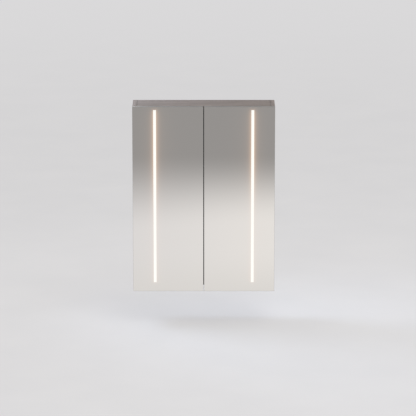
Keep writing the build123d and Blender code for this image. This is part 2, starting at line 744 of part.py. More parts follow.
def switch_window(room):
    """The space of the switch's body where it passes through the housing's front wall."""
    half_x = SWITCH_WIDTH / 2 + room
    half_z = SWITCH_HEIGHT / 2 + room
    return block(
        (SWITCH_OFFSET - half_x, SWITCH_OFFSET + half_x),
        (HOUSING_FRONT, HOUSING_FRONT + SWITCH_DEPTH),
        (HOUSING_MIDDLE - half_z, HOUSING_MIDDLE + half_z),
    )


def vent_slots():
    """The row of upright slots in the housing's front wall, before the driver."""
    first = DRIVER_OFFSET - VENT_PITCH * (VENT_COUNT - 1) / 2
    wall = (HOUSING_FRONT, HOUSING_FRONT + HOUSING_WALL)
    upright = (HOUSING_MIDDLE - VENT_HEIGHT / 2, HOUSING_MIDDLE + VENT_HEIGHT / 2)
    places = [first + VENT_PITCH * step for step in range(VENT_COUNT)]
    return [block((x - VENT_WIDTH / 2, x + VENT_WIDTH / 2), wall, upright) for x in places]


def power_housing():
    """The housing of the electrics: a box that is open at the top, closed by the top board."""
    half = HOUSING_WIDTH / 2
    shell = block((-half, half), (HOUSING_FRONT, BACK_FRONT), (HOUSING_BOTTOM, INSIDE_TOP))
    shell = chamfer(shell.faces().sort_by(Axis.Z)[0].edges(), HOUSING_EDGE)
    inner = half - HOUSING_WALL
    shell -= block(
        (-inner, inner),
        (HOUSING_FRONT + HOUSING_WALL, BACK_FRONT - HOUSING_WALL),
        (HOUSING_BOTTOM + HOUSING_WALL, INSIDE_TOP),
    )
    reach = half + TAB_LENGTH
    for tab in ((-reach, -half), (half, reach)):
        shell += block(tab, (HOUSING_FRONT, BACK_FRONT), (INSIDE_TOP - TAB, INSIDE_TOP))
    for seat in housing_screw_seats():
        shell -= screw_hole(seat, (0, 0, 1))
    shell -= switch_window(FIT)
    for slot in vent_slots():
        shell -= slot
    start = (GROMMET_OFFSET, BACK_FRONT - HOUSING_WALL - FIT, HOUSING_MIDDLE)
    return shell - rod(start, (GROMMET_OFFSET, BACK_FRONT, HOUSING_MIDDLE), GROMMET_FLANGE_R + FIT)


def housing_screws():
    """The four screws of the power housing."""
    return group([screw(seat, (0, 0, 1)) for seat in housing_screw_seats()])


def led_driver():
    """The driver that feeds the light strips, on the top board inside the housing."""
    middle = (HOUSING_FRONT + BACK_FRONT) / 2
    half = DRIVER_LENGTH / 2
    return block(
        (DRIVER_OFFSET - half, DRIVER_OFFSET + half),
        (middle - DRIVER_DEPTH / 2, middle + DRIVER_DEPTH / 2),
        (INSIDE_TOP - DRIVER_HEIGHT, INSIDE_TOP),
        DRIVER_EDGE,
    )


def terminal_block():
    """The block where the mains lead's wires are clamped, with its clamping screws' holes."""
    half = TERMINAL_LENGTH / 2
    back = BACK_FRONT - HOUSING_WALL - GROMMET_FLANGE
    low = INSIDE_TOP - TERMINAL_HEIGHT
    across = (TERMINAL_OFFSET - half, TERMINAL_OFFSET + half)
    body = block(across, (back - TERMINAL_DEPTH, back), (low, INSIDE_TOP))
    pitch = TERMINAL_LENGTH / TERMINAL_POLES
    for pole in range(TERMINAL_POLES):
        x = TERMINAL_OFFSET - half + (pole + 0.5) * pitch
        y = back - TERMINAL_DEPTH / 2
        body -= rod((x, y, low - FIT), (x, y, low + TERMINAL_SCREW_DEPTH), TERMINAL_SCREW_R)
    return body


def rocker_cavity():
    """The half width and half height of the switch's cavity."""
    return SWITCH_WIDTH / 2 - SWITCH_WALL, SWITCH_HEIGHT / 2 - SWITCH_WALL


def switch_body():
    """The switch's frame: a bezel on the housing's front and a box with the rocker's cavity."""
    half_x = SWITCH_WIDTH / 2 + SWITCH_BEZEL_RIM
    half_z = SWITCH_HEIGHT / 2 + SWITCH_BEZEL_RIM
    face = HOUSING_FRONT - SWITCH_BEZEL
    frame = switch_window(0) + block(
        (SWITCH_OFFSET - half_x, SWITCH_OFFSET + half_x),
        (face, HOUSING_FRONT),
        (HOUSING_MIDDLE - half_z, HOUSING_MIDDLE + half_z),
    )
    cavity_x, cavity_z = rocker_cavity()
    frame -= block(
        (SWITCH_OFFSET - cavity_x, SWITCH_OFFSET + cavity_x),
        (face, HOUSING_FRONT + SWITCH_DEPTH - SWITCH_FLOOR),
        (HOUSING_MIDDLE - cavity_z, HOUSING_MIDDLE + cavity_z),
    )
    start, end = rocker_axis(ROCKER_PIVOT_LENGTH + FIT)
    return frame - rod(start, end, ROCKER_PIVOT_R + PIN_RUNNING)


def rocker_axis(beyond):
    """The ends of the rocker's pivot line, some way beyond the rocker's sides."""
    half = rocker_cavity()[0] - ROCKER_GAP + beyond
    y = HOUSING_FRONT - SWITCH_BEZEL + ROCKER_PIVOT_DEPTH
    return (SWITCH_OFFSET - half, y, HOUSING_MIDDLE), (SWITCH_OFFSET + half, y, HOUSING_MIDDLE)


def switch_rocker():
    """The rocker: a drum about its pivot with a dished front, tilted to the position at rest."""
    radius = rocker_cavity()[1] - ROCKER_GAP
    start, end = rocker_axis(0)
    length = end[0] - start[0]
    reach = ROCKER_PIVOT_DEPTH + ROCKER_PROUD
    tip = sqrt(radius**2 - reach**2)
    outline = [
        (-radius, -radius),
        (reach, -radius),
        (reach, -tip),
        (reach - ROCKER_DISH, 0),
        (reach, tip),
        (reach, radius),
        (-radius, radius),
    ]
    section = Circle(radius) & make_face(Polyline(*outline, close=True))
    side = Plane(origin=start, x_dir=(0, -1, 0), z_dir=(1, 0, 0))
    drum = extrude(side * section, amount=length)
    first, last = rocker_axis(ROCKER_PIVOT_LENGTH)
    drum += rod(first, last, ROCKER_PIVOT_R)
    return drum.rotate(Axis(start, (1, 0, 0)), -ROCKER_TILT)


def mains_grommet():
    """The rubber grommet in the back board, through which the mains lead comes in."""
    x, z = GROMMET_OFFSET, HOUSING_MIDDLE
    ring = rod((x, BACK_FRONT, z), (x, BACK_REAR, z), GROMMET_R)
    ring += rod((x, BACK_FRONT - GROMMET_FLANGE, z), (x, BACK_FRONT, z), GROMMET_FLANGE_R)
    ring += rod((x, BACK_REAR, z), (x, BACK_REAR + GROMMET_FLANGE, z), GROMMET_FLANGE_R)
    start = (x, BACK_FRONT - GROMMET_FLANGE - FIT, z)
    return ring - rod(start, (x, BACK_REAR + GROMMET_FLANGE + FIT, z), GROMMET_BORE_R)


def pieces():
    """Every piece of the cabinet by name."""
    heights = list(HINGES.values())
    right = {
        "side_panel": side_panel(),
        "hanger_body": hanger_body(),
        "hanger_hook": hanger_hook(),
        "hinge_plates": group([hinge_plate(z) for z in heights]),
        "door_core": door_core(),
        "front_mirror": front_mirror(),
        "inner_mirror": inner_mirror(),
        "light_channel": light_channel(),
        "led_board": led_board(),
        "light_diffuser": light_diffuser(),
        "lead_grommet": lead_grommet(),
        "door_bumpers": door_bumpers(),
        "hinge_pins": group([hinge_pin(z) for z in heights]),
        "cup_screws": group([screw(seat, (0, -1, 0)) for z in heights for seat in cup_screw_seats(z)]),
    }
    for place, z in HINGES.items():
        right[f"{place}_hinge_arm"] = hinge_arm(z)
        right[f"{place}_hinge_cup"] = hinge_cup(z)
    plate_screws = [screw(seat, (1, 0, 0)) for seat in plate_screw_seats()]
    arm_seats = [seat for z in heights for seat in arm_screw_seats(z)]
    arm_screws = [screw(seat, (1, 0, 0), ARM_SCREW_LENGTH) for seat in arm_seats]
    found = {
        "top_panel": top_panel(),
        "bottom_panel": cross_panel(CASE_BOTTOM, INSIDE_BOTTOM),
        "back_panel": back_panel(),
        "case_dowels": case_dowels(),
        "wall_rail": wall_rail(),
        "hanger_adjusters": hanger_adjusters(),
        "hanger_screws": hanger_screws(),
        "shelf_pegs": shelf_pegs(),
        "hinge_plate_screws": group(plate_screws + [flipped(piece) for piece in plate_screws]),
        "hinge_arm_screws": group(arm_screws + [flipped(piece) for piece in arm_screws]),
        "power_housing": power_housing(),
        "housing_screws": housing_screws(),
        "led_driver": led_driver(),
        "terminal_block": terminal_block(),
        "switch_body": switch_body(),
        "switch_rocker": switch_rocker(),
        "mains_grommet": mains_grommet(),
    }
    for place, bottom in SHELVES.items():
        found[f"{place}_shelf"] = shelf(bottom)
    for name, shape in right.items():
        found[f"right_{name}"] = shape
        found[f"left_{name}"] = flipped(shape)
    return found


os.makedirs("parts", exist_ok=True)
for piece_name, piece_shape in pieces().items():
    export_step(piece_shape, f"parts/{piece_name}.step")
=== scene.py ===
"""Dresses the wall-hung mirror cabinet, and sets up its studio and camera.

Metres, in the cabinet's own frame: +X to the right, +Y into the wall and +Z up.
"""

import logging
import math
from dataclasses import dataclass
from enum import Enum

import bmesh
import bpy
from mathutils import Color, Matrix, Vector
from mathutils.bvhtree import BVHTree

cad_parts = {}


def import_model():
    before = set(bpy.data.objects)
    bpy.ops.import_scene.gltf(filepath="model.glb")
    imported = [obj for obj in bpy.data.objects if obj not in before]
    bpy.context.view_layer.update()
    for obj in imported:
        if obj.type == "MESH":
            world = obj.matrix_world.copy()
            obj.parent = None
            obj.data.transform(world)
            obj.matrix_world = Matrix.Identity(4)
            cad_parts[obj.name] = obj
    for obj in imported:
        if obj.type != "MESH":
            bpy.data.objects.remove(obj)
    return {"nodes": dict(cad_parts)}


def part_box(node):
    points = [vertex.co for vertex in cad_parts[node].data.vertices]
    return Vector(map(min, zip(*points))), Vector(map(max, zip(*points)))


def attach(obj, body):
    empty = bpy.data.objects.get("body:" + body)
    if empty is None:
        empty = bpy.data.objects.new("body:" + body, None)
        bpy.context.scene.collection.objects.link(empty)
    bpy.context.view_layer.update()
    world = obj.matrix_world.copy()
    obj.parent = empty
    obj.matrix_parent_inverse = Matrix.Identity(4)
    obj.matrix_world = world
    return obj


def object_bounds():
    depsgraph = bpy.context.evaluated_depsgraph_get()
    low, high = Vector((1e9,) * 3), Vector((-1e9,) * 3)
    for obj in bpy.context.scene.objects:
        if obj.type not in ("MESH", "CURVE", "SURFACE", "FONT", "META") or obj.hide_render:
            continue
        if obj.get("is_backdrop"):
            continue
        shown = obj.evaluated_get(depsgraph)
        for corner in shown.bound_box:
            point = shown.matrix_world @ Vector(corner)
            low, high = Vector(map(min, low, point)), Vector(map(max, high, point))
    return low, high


LOG = logging.getLogger("mirror_cabinet")

# How squarely a surface has to face along an axis to count as lying square to it.
SQUARE_ON = 0.8

Colour = tuple[float, float, float]
Socket = bpy.types.NodeSocket
Value = float | Socket
Paint = Colour | Socket


def screen(red: int, green: int, blue: int) -> Colour:
    """A colour as a screen shows it, in linear light.

    Args:
        red: the red share, from 0 to 255.
        green: the green share.
        blue: the blue share.

    Returns:
        The same colour as shares of light, from 0 to 1.
    """
    shown = Color((red / 255, green / 255, blue / 255))
    light = shown.from_srgb_to_scene_linear()
    return light.r, light.g, light.b


def shaded(tone: Colour, share: float, lift: float = 0.0) -> Colour:
    """A colour times a share, with a lift added to it and no light above 1."""
    red, green, blue = (min(1.0, share * light + lift) for light in tone)
    return red, green, blue


def placed(name: str, data: bpy.types.ID) -> bpy.types.Object:
    """Adds an object to the scene.

    Args:
        name: the object's name.
        data: its mesh, light or camera.

    Returns:
        The object.
    """
    made = bpy.data.objects.new(name, data)
    bpy.context.scene.collection.objects.link(made)
    return made


def formed(name: str, form: bmesh.types.BMesh) -> bpy.types.Object:
    """Adds an object of a given form to the scene.

    Args:
        name: the object's name.
        form: its mesh, which is used up.

    Returns:
        The object.
    """
    mesh = bpy.data.meshes.new(name)
    form.to_mesh(mesh)
    form.free()
    return placed(name, mesh)


class Side(Enum):
    """The two doors, by the side that they hang on."""

    LEFT = "left"
    RIGHT = "right"


class Level(Enum):
    """The hinges of a door, by height."""

    UPPER = "upper"
    MIDDLE = "middle"
    LOWER = "lower"


class Axis(Enum):
    """The cabinet's axes, by the way that they run."""

    ACROSS = 0
    INWARD = 1
    UPRIGHT = 2


class Graph:
    """A node tree of a material or of the world, with short ways to add to it."""

    # Where the colours stand among the mix node's sockets.
    first_colour: int = 6
    second_colour: int = 7
    mixed_colour: int = 2

    def __init__(self, tree: bpy.types.NodeTree) -> None:
        """Starts with an empty tree."""
        tree.nodes.clear()
        self.tree = tree

    def node(self, kind: str, **settings: object) -> bpy.types.Node:
        """Adds a node.

        Args:
            kind: the node's type.
            settings: the node's properties by name.

        Returns:
            The new node.
        """
        made = self.tree.nodes.new(kind)
        for name, value in settings.items():
            setattr(made, name, value)
        return made

    def feed(self, socket: Socket, value: Value | Paint) -> None:
        """Joins a socket to another one, or sets it to a constant.

        Args:
            socket: the input to feed.
            value: an output socket, a number or a colour.
        """
        if isinstance(value, Socket):
            self.tree.links.new(value, socket)
        elif isinstance(value, tuple):
            socket.default_value = (*value, 1.0)
        else:
            socket.default_value = value

    def math(self, operation: str, *values: Value) -> Socket:
        """The result of one operation on numbers.

        Args:
            operation: the operation's name, as the node gives it.
            values: its operands, as constants or sockets.

        Returns:
            The socket that holds the result.
        """
        made = self.node("ShaderNodeMath", operation=operation)
        for socket, value in zip(made.inputs, values):
            self.feed(socket, value)
        return made.outputs[0]

    def scaled(self, value: Value, by: Value, plus: Value) -> Socket:
        """A value times a number, plus another."""
        return self.math("MULTIPLY_ADD", value, by, plus)

    def blend(self, share: Value, first: Paint, second: Paint) -> Socket:
        """A colour between two others.

        Args:
            share: how much of the second there is, from 0 to 1.
            first: the colour at 0.
            second: the colour at 1.

        Returns:
            The socket that holds the colour.
        """
        made = self.node("ShaderNodeMix", data_type="RGBA")
        self.feed(made.inputs["Factor"], share)
        self.feed(made.inputs[self.first_colour], first)
        self.feed(made.inputs[self.second_colour], second)
        return made.outputs[self.mixed_colour]

    def ease(
        self, value: Value, start: float, end: float, low: float = 0.0, high: float = 1.0
    ) -> Socket:
        """A smooth step between two values.

        Args:
            value: what the step depends on.
            start: where the step starts.
            end: where it ends.
            low: the result before the start.
            high: the result after the end.

        Returns:
            The socket that holds the result.
        """
        made = self.node("ShaderNodeMapRange", interpolation_type="SMOOTHSTEP")
        limits = {"From Min": start, "From Max": end, "To Min": low, "To Max": high}
        for name, limit in limits.items():
            made.inputs[name].default_value = limit
        self.feed(made.inputs["Value"], value)
        return made.outputs["Result"]

    def place(self) -> Socket:
        """The place on the piece, which moves with it."""
        return self.node("ShaderNodeTexCoord").outputs["Object"]

    def square_to(self, axis: Axis) -> Socket:
        """Where the surface lies square to an axis of the piece.

        Args:
            axis: the axis.

        Returns:
            The socket that holds 1 there and 0 elsewhere.
        """
        normal = self.node("ShaderNodeTexCoord").outputs["Normal"]
        facing = self.math("ABSOLUTE", self.part(normal, axis))
        return self.math("GREATER_THAN", facing, SQUARE_ON)

    def part(self, vector: Socket, axis: Axis) -> Socket:
        """One of a vector's three numbers.

        Args:
            vector: the vector.
            axis: the axis that the number lies along.

        Returns:
            The socket that holds the number.
        """
        made = self.node("ShaderNodeSeparateXYZ")
        self.feed(made.inputs[0], vector)
        return made.outputs[axis.value]

    def length(self, vector: Socket) -> Socket:
        """How long a vector is.

        Args:
            vector: the vector.

        Returns:
            The socket that holds its length.
        """
        made = self.node("ShaderNodeVectorMath", operation="LENGTH")
        self.feed(made.inputs[0], vector)
        return made.outputs["Value"]

    def stretched(self, grain: Axis, along: float, across: float) -> Socket:
        """The place on the piece, scaled so that a pattern is drawn out along the grain.

        Args:
            grain: the way that the grain runs.
            along: how often the pattern changes in a metre along the grain.
            across: how often it changes across the grain.

        Returns:
            The socket that holds the scaled place.
        """
        made = self.node("ShaderNodeVectorMath", operation="MULTIPLY")
        self.feed(made.inputs[0], self.place())
        scale = [across] * 3
        scale[grain.value] = along
        made.inputs[1].default_value = scale
        return made.outputs[0]

    def noise(self, place: Socket, scale: float = 1.0, detail: float = 3.0) -> Socket:
        """A soft random pattern.

        Args:
            place: where on the surface.
            scale: how often the pattern changes in each unit of the place.
            detail: how many finer patterns lie in it.

        Returns:
            The socket that holds a number about 0.5.
        """
        made = self.node("ShaderNodeTexNoise")
        self.feed(made.inputs["Vector"], place)
        made.inputs["Scale"].default_value = scale
        made.inputs["Detail"].default_value = detail
        return made.outputs["Fac"]

    def bump(self, height: Socket, depth: float, strength: float) -> Socket:
        """The surface's normal with small bumps.

        Args:
            height: the pattern of the bumps, from 0 to 1.
            depth: the bumps' height.
            strength: how much they show.

        Returns:
            The socket that holds the normal.
        """
        made = self.node("ShaderNodeBump")
        made.inputs["Strength"].default_value = strength
        made.inputs["Distance"].default_value = depth
        self.feed(made.inputs["Height"], height)
        return made.outputs["Normal"]

    def plain(self, kind: str, colour: Paint) -> Socket:
        """A shader that has nothing but a colour.

        Args:
            kind: the shader's node type.
            colour: its colour.

        Returns:
            The shader's socket.
        """
        made = self.node(kind)
        self.feed(made.inputs["Color"], colour)
        return made.outputs[0]

    def mix(self, share: Value, first: Socket, second: Socket) -> Socket:
        """A shader between two others.

        Args:
            share: how much of the second there is, from 0 to 1.
            first: the shader at 0.
            second: the shader at 1.

        Returns:
            The new shader's socket.
        """
        made = self.node("ShaderNodeMixShader")
        for socket, value in zip(made.inputs, (share, first, second)):
            self.feed(socket, value)
        return made.outputs[0]

    def surface(self, **inputs: Value | Paint) -> None:
        """Ends a material in a surface shader.

        Args:
            inputs: the shader's inputs by name, with an underscore for each space.
        """
        shader = self.node("ShaderNodeBsdfPrincipled")
        for name, value in inputs.items():
            self.feed(shader.inputs[name.replace("_", " ")], value)
        self.finish(shader.outputs[0])

    def finish(self, shader: Socket, end: str = "ShaderNodeOutputMaterial") -> None:
        """Ends the tree in a shader."""
        self.tree.links.new(shader, self.node(end).inputs["Surface"])


@dataclass(frozen=True)
class Finish:
    """What a surface is made of and how it looks."""

    name: str

    def material(self) -> bpy.types.Material:
        """The finish's material, made the first time that it is asked for.

        Returns:
            The material, which has the finish's own name.
        """
        made = bpy.data.materials.get(self.name)
        if made is None:
            made = bpy.data.materials.new(self.name)
            made.use_nodes = True
            self.compose(Graph(made.node_tree))
        return made

    def compose(self, graph: Graph) -> None:
        """Fills the material's node tree."""
        raise NotImplementedError

    def coat(self, piece: bpy.types.Object) -> None:
        """Gives a piece this finish.

        Args:
            piece: the piece, which gets the finish in each of its slots.
        """
        if not piece.material_slots:
            piece.data.materials.append(None)
        for slot in piece.material_slots:
            slot.material = self.material()


@dataclass(frozen=True)
class GrainedBoard(Finish):
    """Matt melamine with a fine printed woodgrain and shallow pores.

    Its cut ends have a band with a grain and tone of its own, and a board that meets others
    there has a painted line of shade along the seam before them.
    """

    tone: Colour
    grain: Axis
    band_grain: Axis = Axis.INWARD
    band_lift: float = 1.12
    joint_at: float = 0.0
    joint_width: float = 0.0016
    joint_shade: float = 0.45
    figure: float = 0.2
    streak_share: float = 0.65
    streaks_a_metre: float = 55.0
    pores_a_metre: float = 900.0
    pore_figure: float = 1.4
    pore_depth: float = 0.00012
    roughness: float = 0.48
    roughness_span: float = 0.12
    shine: float = 0.3

    def compose(self, graph: Graph) -> None:
        """Fills the material's node tree.

        Args:
            graph: the tree.
        """
        streaks, pores, face = self.figured(graph, self.grain, 1.0)
        band = self.figured(graph, self.band_grain, self.band_lift)[-1]
        tone = graph.blend(graph.square_to(self.grain), face, band)
        # Painted shade: a darker line along the seam where the board meets others at its ends.
        if self.joint_at:
            reach = graph.math("ABSOLUTE", graph.part(graph.place(), self.grain))
            painted_seam_shade = graph.math("GREATER_THAN", reach, self.joint_at - self.joint_width)
            tone = graph.blend(painted_seam_shade, tone, shaded(self.tone, self.joint_shade))
        graph.surface(
            Base_Color=tone,
            Roughness=graph.scaled(streaks, by=self.roughness_span, plus=self.roughness),
            Specular_IOR_Level=self.shine,
            Normal=graph.bump(pores, self.pore_depth, strength=0.5),
        )

    def figured(self, graph: Graph, grain: Axis, lift: float) -> tuple[Socket, Socket, Socket]:
        """The printed figure with its grain one way.

        Args:
            graph: the tree to add to.
            grain: the way that the grain runs.
            lift: how much paler it is than the board's own tone.

        Returns:
            The sockets of the streaks, of the pores (0 in a pore) and of the colour.
        """
        drawn = graph.stretched(grain, along=3, across=self.streaks_a_metre)
        streaks = graph.noise(drawn, detail=6)
        dashes = graph.noise(graph.stretched(grain, along=22, across=self.pores_a_metre), detail=2)
        pores = graph.ease(dashes, start=0.3, end=0.46)
        clouds = graph.noise(graph.place(), scale=5, detail=2)
        clouded = graph.math("MULTIPLY", clouds, 1 - self.streak_share)
        figure = graph.ease(graph.scaled(streaks, self.streak_share, clouded), start=0.3, end=0.7)
        dark, pale, pore = (
            shaded(self.tone, lift * (1 + way * self.figure)) for way in (-1, 1, -self.pore_figure)
        )
        return streaks, pores, graph.blend(pores, pore, graph.blend(figure, dark, pale))


@dataclass(frozen=True)
class LightGlow:
    """The warm glow that is painted onto the mirror beside a strip of light, most of it red."""

    low: Vector
    high: Vector
    colour: Colour = (0.85, 0.49, 0.26)
    cover: Colour = (1.0, 0.62, 0.36)
    close_share: float = 0.57
    close_reach: float = 0.0065
    wide_share: float = 0.115
    wide_reach: float = 0.032

    def share(self, graph: Graph) -> Socket:
        """How much of the surface's light is painted glow, by its distance from the strip.

        The glow falls to a half beside the strip's ends, as the light of a line does, and dies
        away past them.

        Args:
            graph: the tree to add to.

        Returns:
            The socket that holds the share.
        """
        place = graph.place()
        middle, half = (self.low + self.high) / 2, (self.high - self.low) / 2
        offset = {}
        for axis in (Axis.ACROSS, Axis.UPRIGHT):
            from_middle = graph.math("SUBTRACT", graph.part(place, axis), middle[axis.value])
            offset[axis] = graph.math("ABSOLUTE", from_middle)
        sideways = offset[Axis.ACROSS]
        beside = graph.math("MAXIMUM", graph.math("SUBTRACT", sideways, half.x), 0.0)
        close = graph.math("EXPONENT", graph.math("DIVIDE", beside, -self.close_reach))
        wide = graph.math("EXPONENT", graph.math("DIVIDE", beside, -self.wide_reach))
        spread = graph.math("MULTIPLY", wide, self.wide_share)
        glow = graph.scaled(close, by=self.close_share, plus=spread)
        inside = graph.math("SUBTRACT", half.z, offset[Axis.UPRIGHT])
        aside = graph.scaled(sideways, by=sideways, plus=half.x**2)
        span = graph.math("SQRT", graph.scaled(inside, by=inside, plus=aside))
        lit = graph.scaled(graph.math("DIVIDE", inside, span), by=0.5, plus=0.5)
        return graph.math("MULTIPLY", glow, lit)


@dataclass(frozen=True)
class SilveredMirror(Finish):
    """Silvered glass with ground edges, and with a painted glow beside a light where there is one.
    """

    glow: LightGlow | None = None
    tint: Colour = (0.95, 0.945, 0.935)
    edge: Colour = (0.178, 0.182, 0.174)
    face_roughness: float = 0.004
    haze_roughness: float = 0.016
    edge_roughness: float = 0.22

    def compose(self, graph: Graph) -> None:
        """Fills the material's node tree.

        Args:
            graph: the tree.
        """
        face = graph.square_to(Axis.INWARD)
        haze = graph.noise(graph.place(), scale=14, detail=4)
        hazy = graph.scaled(haze, by=self.haze_roughness, plus=self.face_roughness)
        glass = self.tint
        glowing = {}
        # Painted glow: near the strip the mirror reflects less and gives off warm light, by
        # distance from the strip.
        if self.glow:
            share = self.glow.share(graph)
            covered = tuple(t * (1 - c) for t, c in zip(self.tint, self.glow.cover))
            glass = graph.blend(share, self.tint, covered)
            glowing["Emission_Color"] = self.glow.colour
            glowing["Emission_Strength"] = graph.math("MULTIPLY", share, face)
        edges = graph.math("SUBTRACT", 1.0, face)
        graph.surface(
            Base_Color=graph.blend(face, self.edge, glass),
            Metallic=face,
            Roughness=graph.scaled(edges, by=self.edge_roughness, plus=hazy),
            **glowing,
        )


@dataclass(frozen=True)
class ShelfGlass(Finish):
    """Clear glass, which is green and half clear at its ground edges."""

    clear: Colour = (0.96, 0.985, 0.975)
    edge: Colour = (0.33, 0.60, 0.51)
    edge_clear: float = 0.5
    edge_streaks: float = 0.4
    edge_roughness: float = 0.13
    flat_roughness: float = 0.01
    refraction: float = 1.52

    def compose(self, graph: Graph) -> None:
        """Fills the material's node tree.

        Args:
            graph: the tree.
        """
        flat = graph.square_to(Axis.UPRIGHT)
        streaks = graph.noise(graph.stretched(Axis.ACROSS, along=16, across=900), detail=4)
        dark, pale = (shaded(self.edge, 1 + way * self.edge_streaks) for way in (-1, 1))
        edge = graph.blend(graph.ease(streaks, start=0.3, end=0.7), dark, pale)
        polish = self.flat_roughness - self.edge_roughness
        graph.surface(
            Base_Color=graph.blend(flat, edge, self.clear),
            Roughness=graph.scaled(flat, by=polish, plus=self.edge_roughness),
            IOR=self.refraction,
            Transmission_Weight=graph.scaled(flat, by=1 - self.edge_clear, plus=self.edge_clear),
        )


@dataclass(frozen=True)
class OpalLight(Finish):
    """A lit opal bar, a little uneven along its length."""

    body: Colour = (0.22, 0.22, 0.21)
    light: Colour = (1.0, 0.975, 0.92)
    strength: float = 0.83
    unevenness: float = 0.04
    roughness: float = 0.42

    def compose(self, graph: Graph) -> None:
        """Fills the material's node tree.

        Args:
            graph: the tree.
        """
        ripple = graph.noise(graph.stretched(Axis.UPRIGHT, along=25, across=4), detail=1)
        dimmest = self.strength - self.unevenness / 2
        graph.surface(
            Base_Color=self.body,
            Roughness=self.roughness,
            Emission_Color=self.light,
            Emission_Strength=graph.scaled(ripple, by=self.unevenness, plus=dimmest),
        )


@dataclass(frozen=True)
class PlatedSteel(Finish):
    """Plated steel with fine drawing lines, and with zinc flakes where they have a size."""

    tone: Colour
    grain: Axis
    roughness: float = 0.24
    roughness_span: float = 0.16
    polish: float = 0.06
    dull_shade: float = 0.86
    lines_a_metre: float = 2600.0
    line_depth: float = 0.00004
    flake_size: float = 0.0
    flake_shade: float = 0.82

    def compose(self, graph: Graph) -> None:
        """Fills the material's node tree.

        Args:
            graph: the tree.
        """
        drawn = graph.stretched(self.grain, along=40, across=self.lines_a_metre)
        lines = graph.noise(drawn, detail=2)
        dull = graph.noise(graph.place(), scale=60, detail=3)
        tone = graph.blend(dull, shaded(self.tone, self.dull_shade), self.tone)
        if self.flake_size:
            flakes = graph.node("ShaderNodeTexVoronoi")
            graph.feed(flakes.inputs["Vector"], graph.place())
            flakes.inputs["Scale"].default_value = 1 / self.flake_size
            flake = graph.part(flakes.outputs["Color"], Axis.ACROSS)
            tone = graph.blend(flake, shaded(self.tone, self.flake_shade), tone)
        smoothest = self.roughness - self.polish
        graph.surface(
            Base_Color=tone,
            Metallic=1.0,
            Roughness=graph.scaled(dull, by=self.roughness_span, plus=smoothest),
            Normal=graph.bump(lines, self.line_depth, strength=0.35),
        )


@dataclass(frozen=True)
class MouldedPlastic(Finish):
    """Moulded plastic with a fine spark-eroded grain."""

    tone: Colour
    roughness: float = 0.5
    roughness_span: float = 0.14
    flow_dark: float = 0.93
    flow_pale: float = 1.05
    grain_a_metre: float = 2400.0
    grain_depth: float = 0.00005

    def compose(self, graph: Graph) -> None:
        """Fills the material's node tree.

        Args:
            graph: the tree.
        """
        grain = graph.noise(graph.place(), scale=self.grain_a_metre, detail=2)
        flow = graph.noise(graph.place(), scale=18, detail=3)
        dark, pale = (shaded(self.tone, share) for share in (self.flow_dark, self.flow_pale))
        smoothest = self.roughness - self.roughness_span / 2
        graph.surface(
            Base_Color=graph.blend(flow, dark, pale),
            Roughness=graph.scaled(grain, by=self.roughness_span, plus=smoothest),
            Normal=graph.bump(grain, self.grain_depth, strength=0.4),
        )


@dataclass(frozen=True)
class SoftRubber(Finish):
    """Rubber with a dusty bloom."""

    tone: Colour
    bloom_share: float = 1.5
    bloom_lift: float = 0.01
    bloom_depth: float = 0.00006
    roughness: float = 0.68
    roughness_span: float = 0.15
    shine: float = 0.35

    def compose(self, graph: Graph) -> None:
        """Fills the material's node tree.

        Args:
            graph: the tree.
        """
        bloom = graph.noise(graph.place(), scale=220, detail=4)
        dusty = shaded(self.tone, self.bloom_share, self.bloom_lift)
        graph.surface(
            Base_Color=graph.blend(bloom, self.tone, dusty),
            Roughness=graph.scaled(bloom, by=self.roughness_span, plus=self.roughness),
            Specular_IOR_Level=self.shine,
            Normal=graph.bump(bloom, self.bloom_depth, strength=0.4),
        )


@dataclass(frozen=True)
class LedTape(Finish):
    """A white strip board with yellow light chips on its front."""

    chips_back: float
    board: Colour = (0.82, 0.82, 0.78)
    board_shade: float = 0.9
    chip: Colour = (0.86, 0.62, 0.16)
    roughness: float = 0.4

    def compose(self, graph: Graph) -> None:
        """Fills the material's node tree.

        Args:
            graph: the tree.
        """
        place = graph.place()
        proud = graph.math("LESS_THAN", graph.part(place, Axis.INWARD), self.chips_back)
        mottle = graph.noise(place, scale=300, detail=2)
        board = graph.blend(mottle, self.board, shaded(self.board, self.board_shade))
        graph.surface(Base_Color=graph.blend(proud, board, self.chip), Roughness=self.roughness)


WOOD_TONE = screen(126, 116, 110)
SIDE_BOARD = GrainedBoard("taupe_side_board", WOOD_TONE, Axis.UPRIGHT)
DOOR_BOARD = GrainedBoard(
    "taupe_door_board",
    screen(126, 121, 117),
    Axis.UPRIGHT,
    band_grain=Axis.ACROSS,
    band_lift=1.0,
    roughness=0.24,
)
BACK_BOARD = GrainedBoard("taupe_back_board", screen(150, 143, 138), Axis.UPRIGHT, figure=0.14)
BEECH = GrainedBoard(
    "turned_beech", screen(203, 172, 128), Axis.ACROSS, figure=0.1, streaks_a_metre=400.0
)
NICKEL = PlatedSteel("bright_nickel", (0.72, 0.70, 0.66), Axis.INWARD)
ZINC = PlatedSteel(
    "spangled_zinc", (0.62, 0.64, 0.66), Axis.ACROSS, roughness=0.36, flake_size=0.009
)
SCREW_STEEL = PlatedSteel("plated_screws", (0.60, 0.60, 0.59), Axis.UPRIGHT, roughness=0.3)
ALUMINIUM = PlatedSteel("satin_aluminium", (0.80, 0.80, 0.81), Axis.UPRIGHT, roughness=0.32)
GREY_PLASTIC = MouldedPlastic("grey_plastic", screen(176, 173, 170))
WHITE_PLASTIC = MouldedPlastic("white_plastic", screen(232, 232, 229), roughness=0.42)
CREAM_PLASTIC = MouldedPlastic("cream_plastic", screen(226, 221, 203), roughness=0.45)
BLACK_PLASTIC = MouldedPlastic(
    "black_plastic", screen(30, 30, 31), roughness=0.3, grain_depth=0.00002
)
MARK_WHITE = MouldedPlastic("mark_white", screen(228, 228, 226), roughness=0.4)
BLACK_RUBBER = SoftRubber("black_rubber", screen(34, 34, 35))
CLEAR_RUBBER = SoftRubber("milky_rubber", screen(214, 214, 210))
SHELF_GLASS = ShelfGlass("clear_glass")
